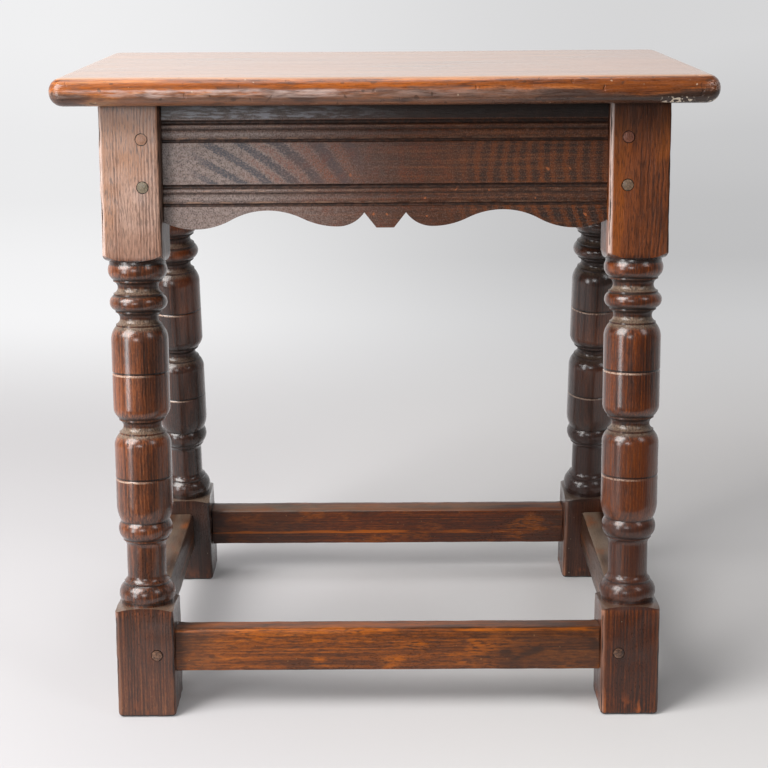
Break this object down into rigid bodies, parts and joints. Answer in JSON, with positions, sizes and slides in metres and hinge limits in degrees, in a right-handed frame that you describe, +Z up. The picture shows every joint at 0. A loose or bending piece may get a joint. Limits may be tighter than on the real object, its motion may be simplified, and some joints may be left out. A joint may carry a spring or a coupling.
{
  "type": "joint stool",
  "caption": "Small oak joint stool with a rounded board seat, moulded and scalloped rails, turned legs raked front to back, and low box stretchers.",
  "frame": {"origin": "on the floor under the middle of the seat", "axes": "+X along the seat to the right of someone facing the front, +Y from front to back, +Z up"},
  "size_m": [0.45, 0.2986, 0.457],
  "materials": {
    "seat_oak": "worn waxed oak, orange-brown, darker along its lower edge",
    "leg_oak": "turned oak stained dark red-brown and waxed, open grain along the leg",
    "rail_oak": "very dark waxed oak with flame figure and dusty mouldings",
    "stretcher_oak": "brown waxed oak, top arris rubbed bright",
    "peg_oak": "dark oak end grain"
  },
  "bodies": {
    "root": {"seat_board": "seat_oak", "seat_dowels": "peg_oak", "leg_front_left": "leg_oak", "leg_front_right": "leg_oak", "leg_rear_left": "leg_oak", "leg_rear_right": "leg_oak", "rail_front": "rail_oak", "rail_rear": "rail_oak", "rail_left": "rail_oak", "rail_right": "rail_oak", "stretcher_front": "stretcher_oak", "stretcher_rear": "stretcher_oak", "stretcher_left": "stretcher_oak", "stretcher_right": "stretcher_oak", "pegs_rail_front": "peg_oak", "pegs_rail_rear": "peg_oak", "pegs_rail_left": "peg_oak", "pegs_rail_right": "peg_oak", "pegs_stretcher_front": "peg_oak", "pegs_stretcher_rear": "peg_oak", "pegs_stretcher_left": "peg_oak", "pegs_stretcher_right": "peg_oak"}
  },
  "joints": []
}
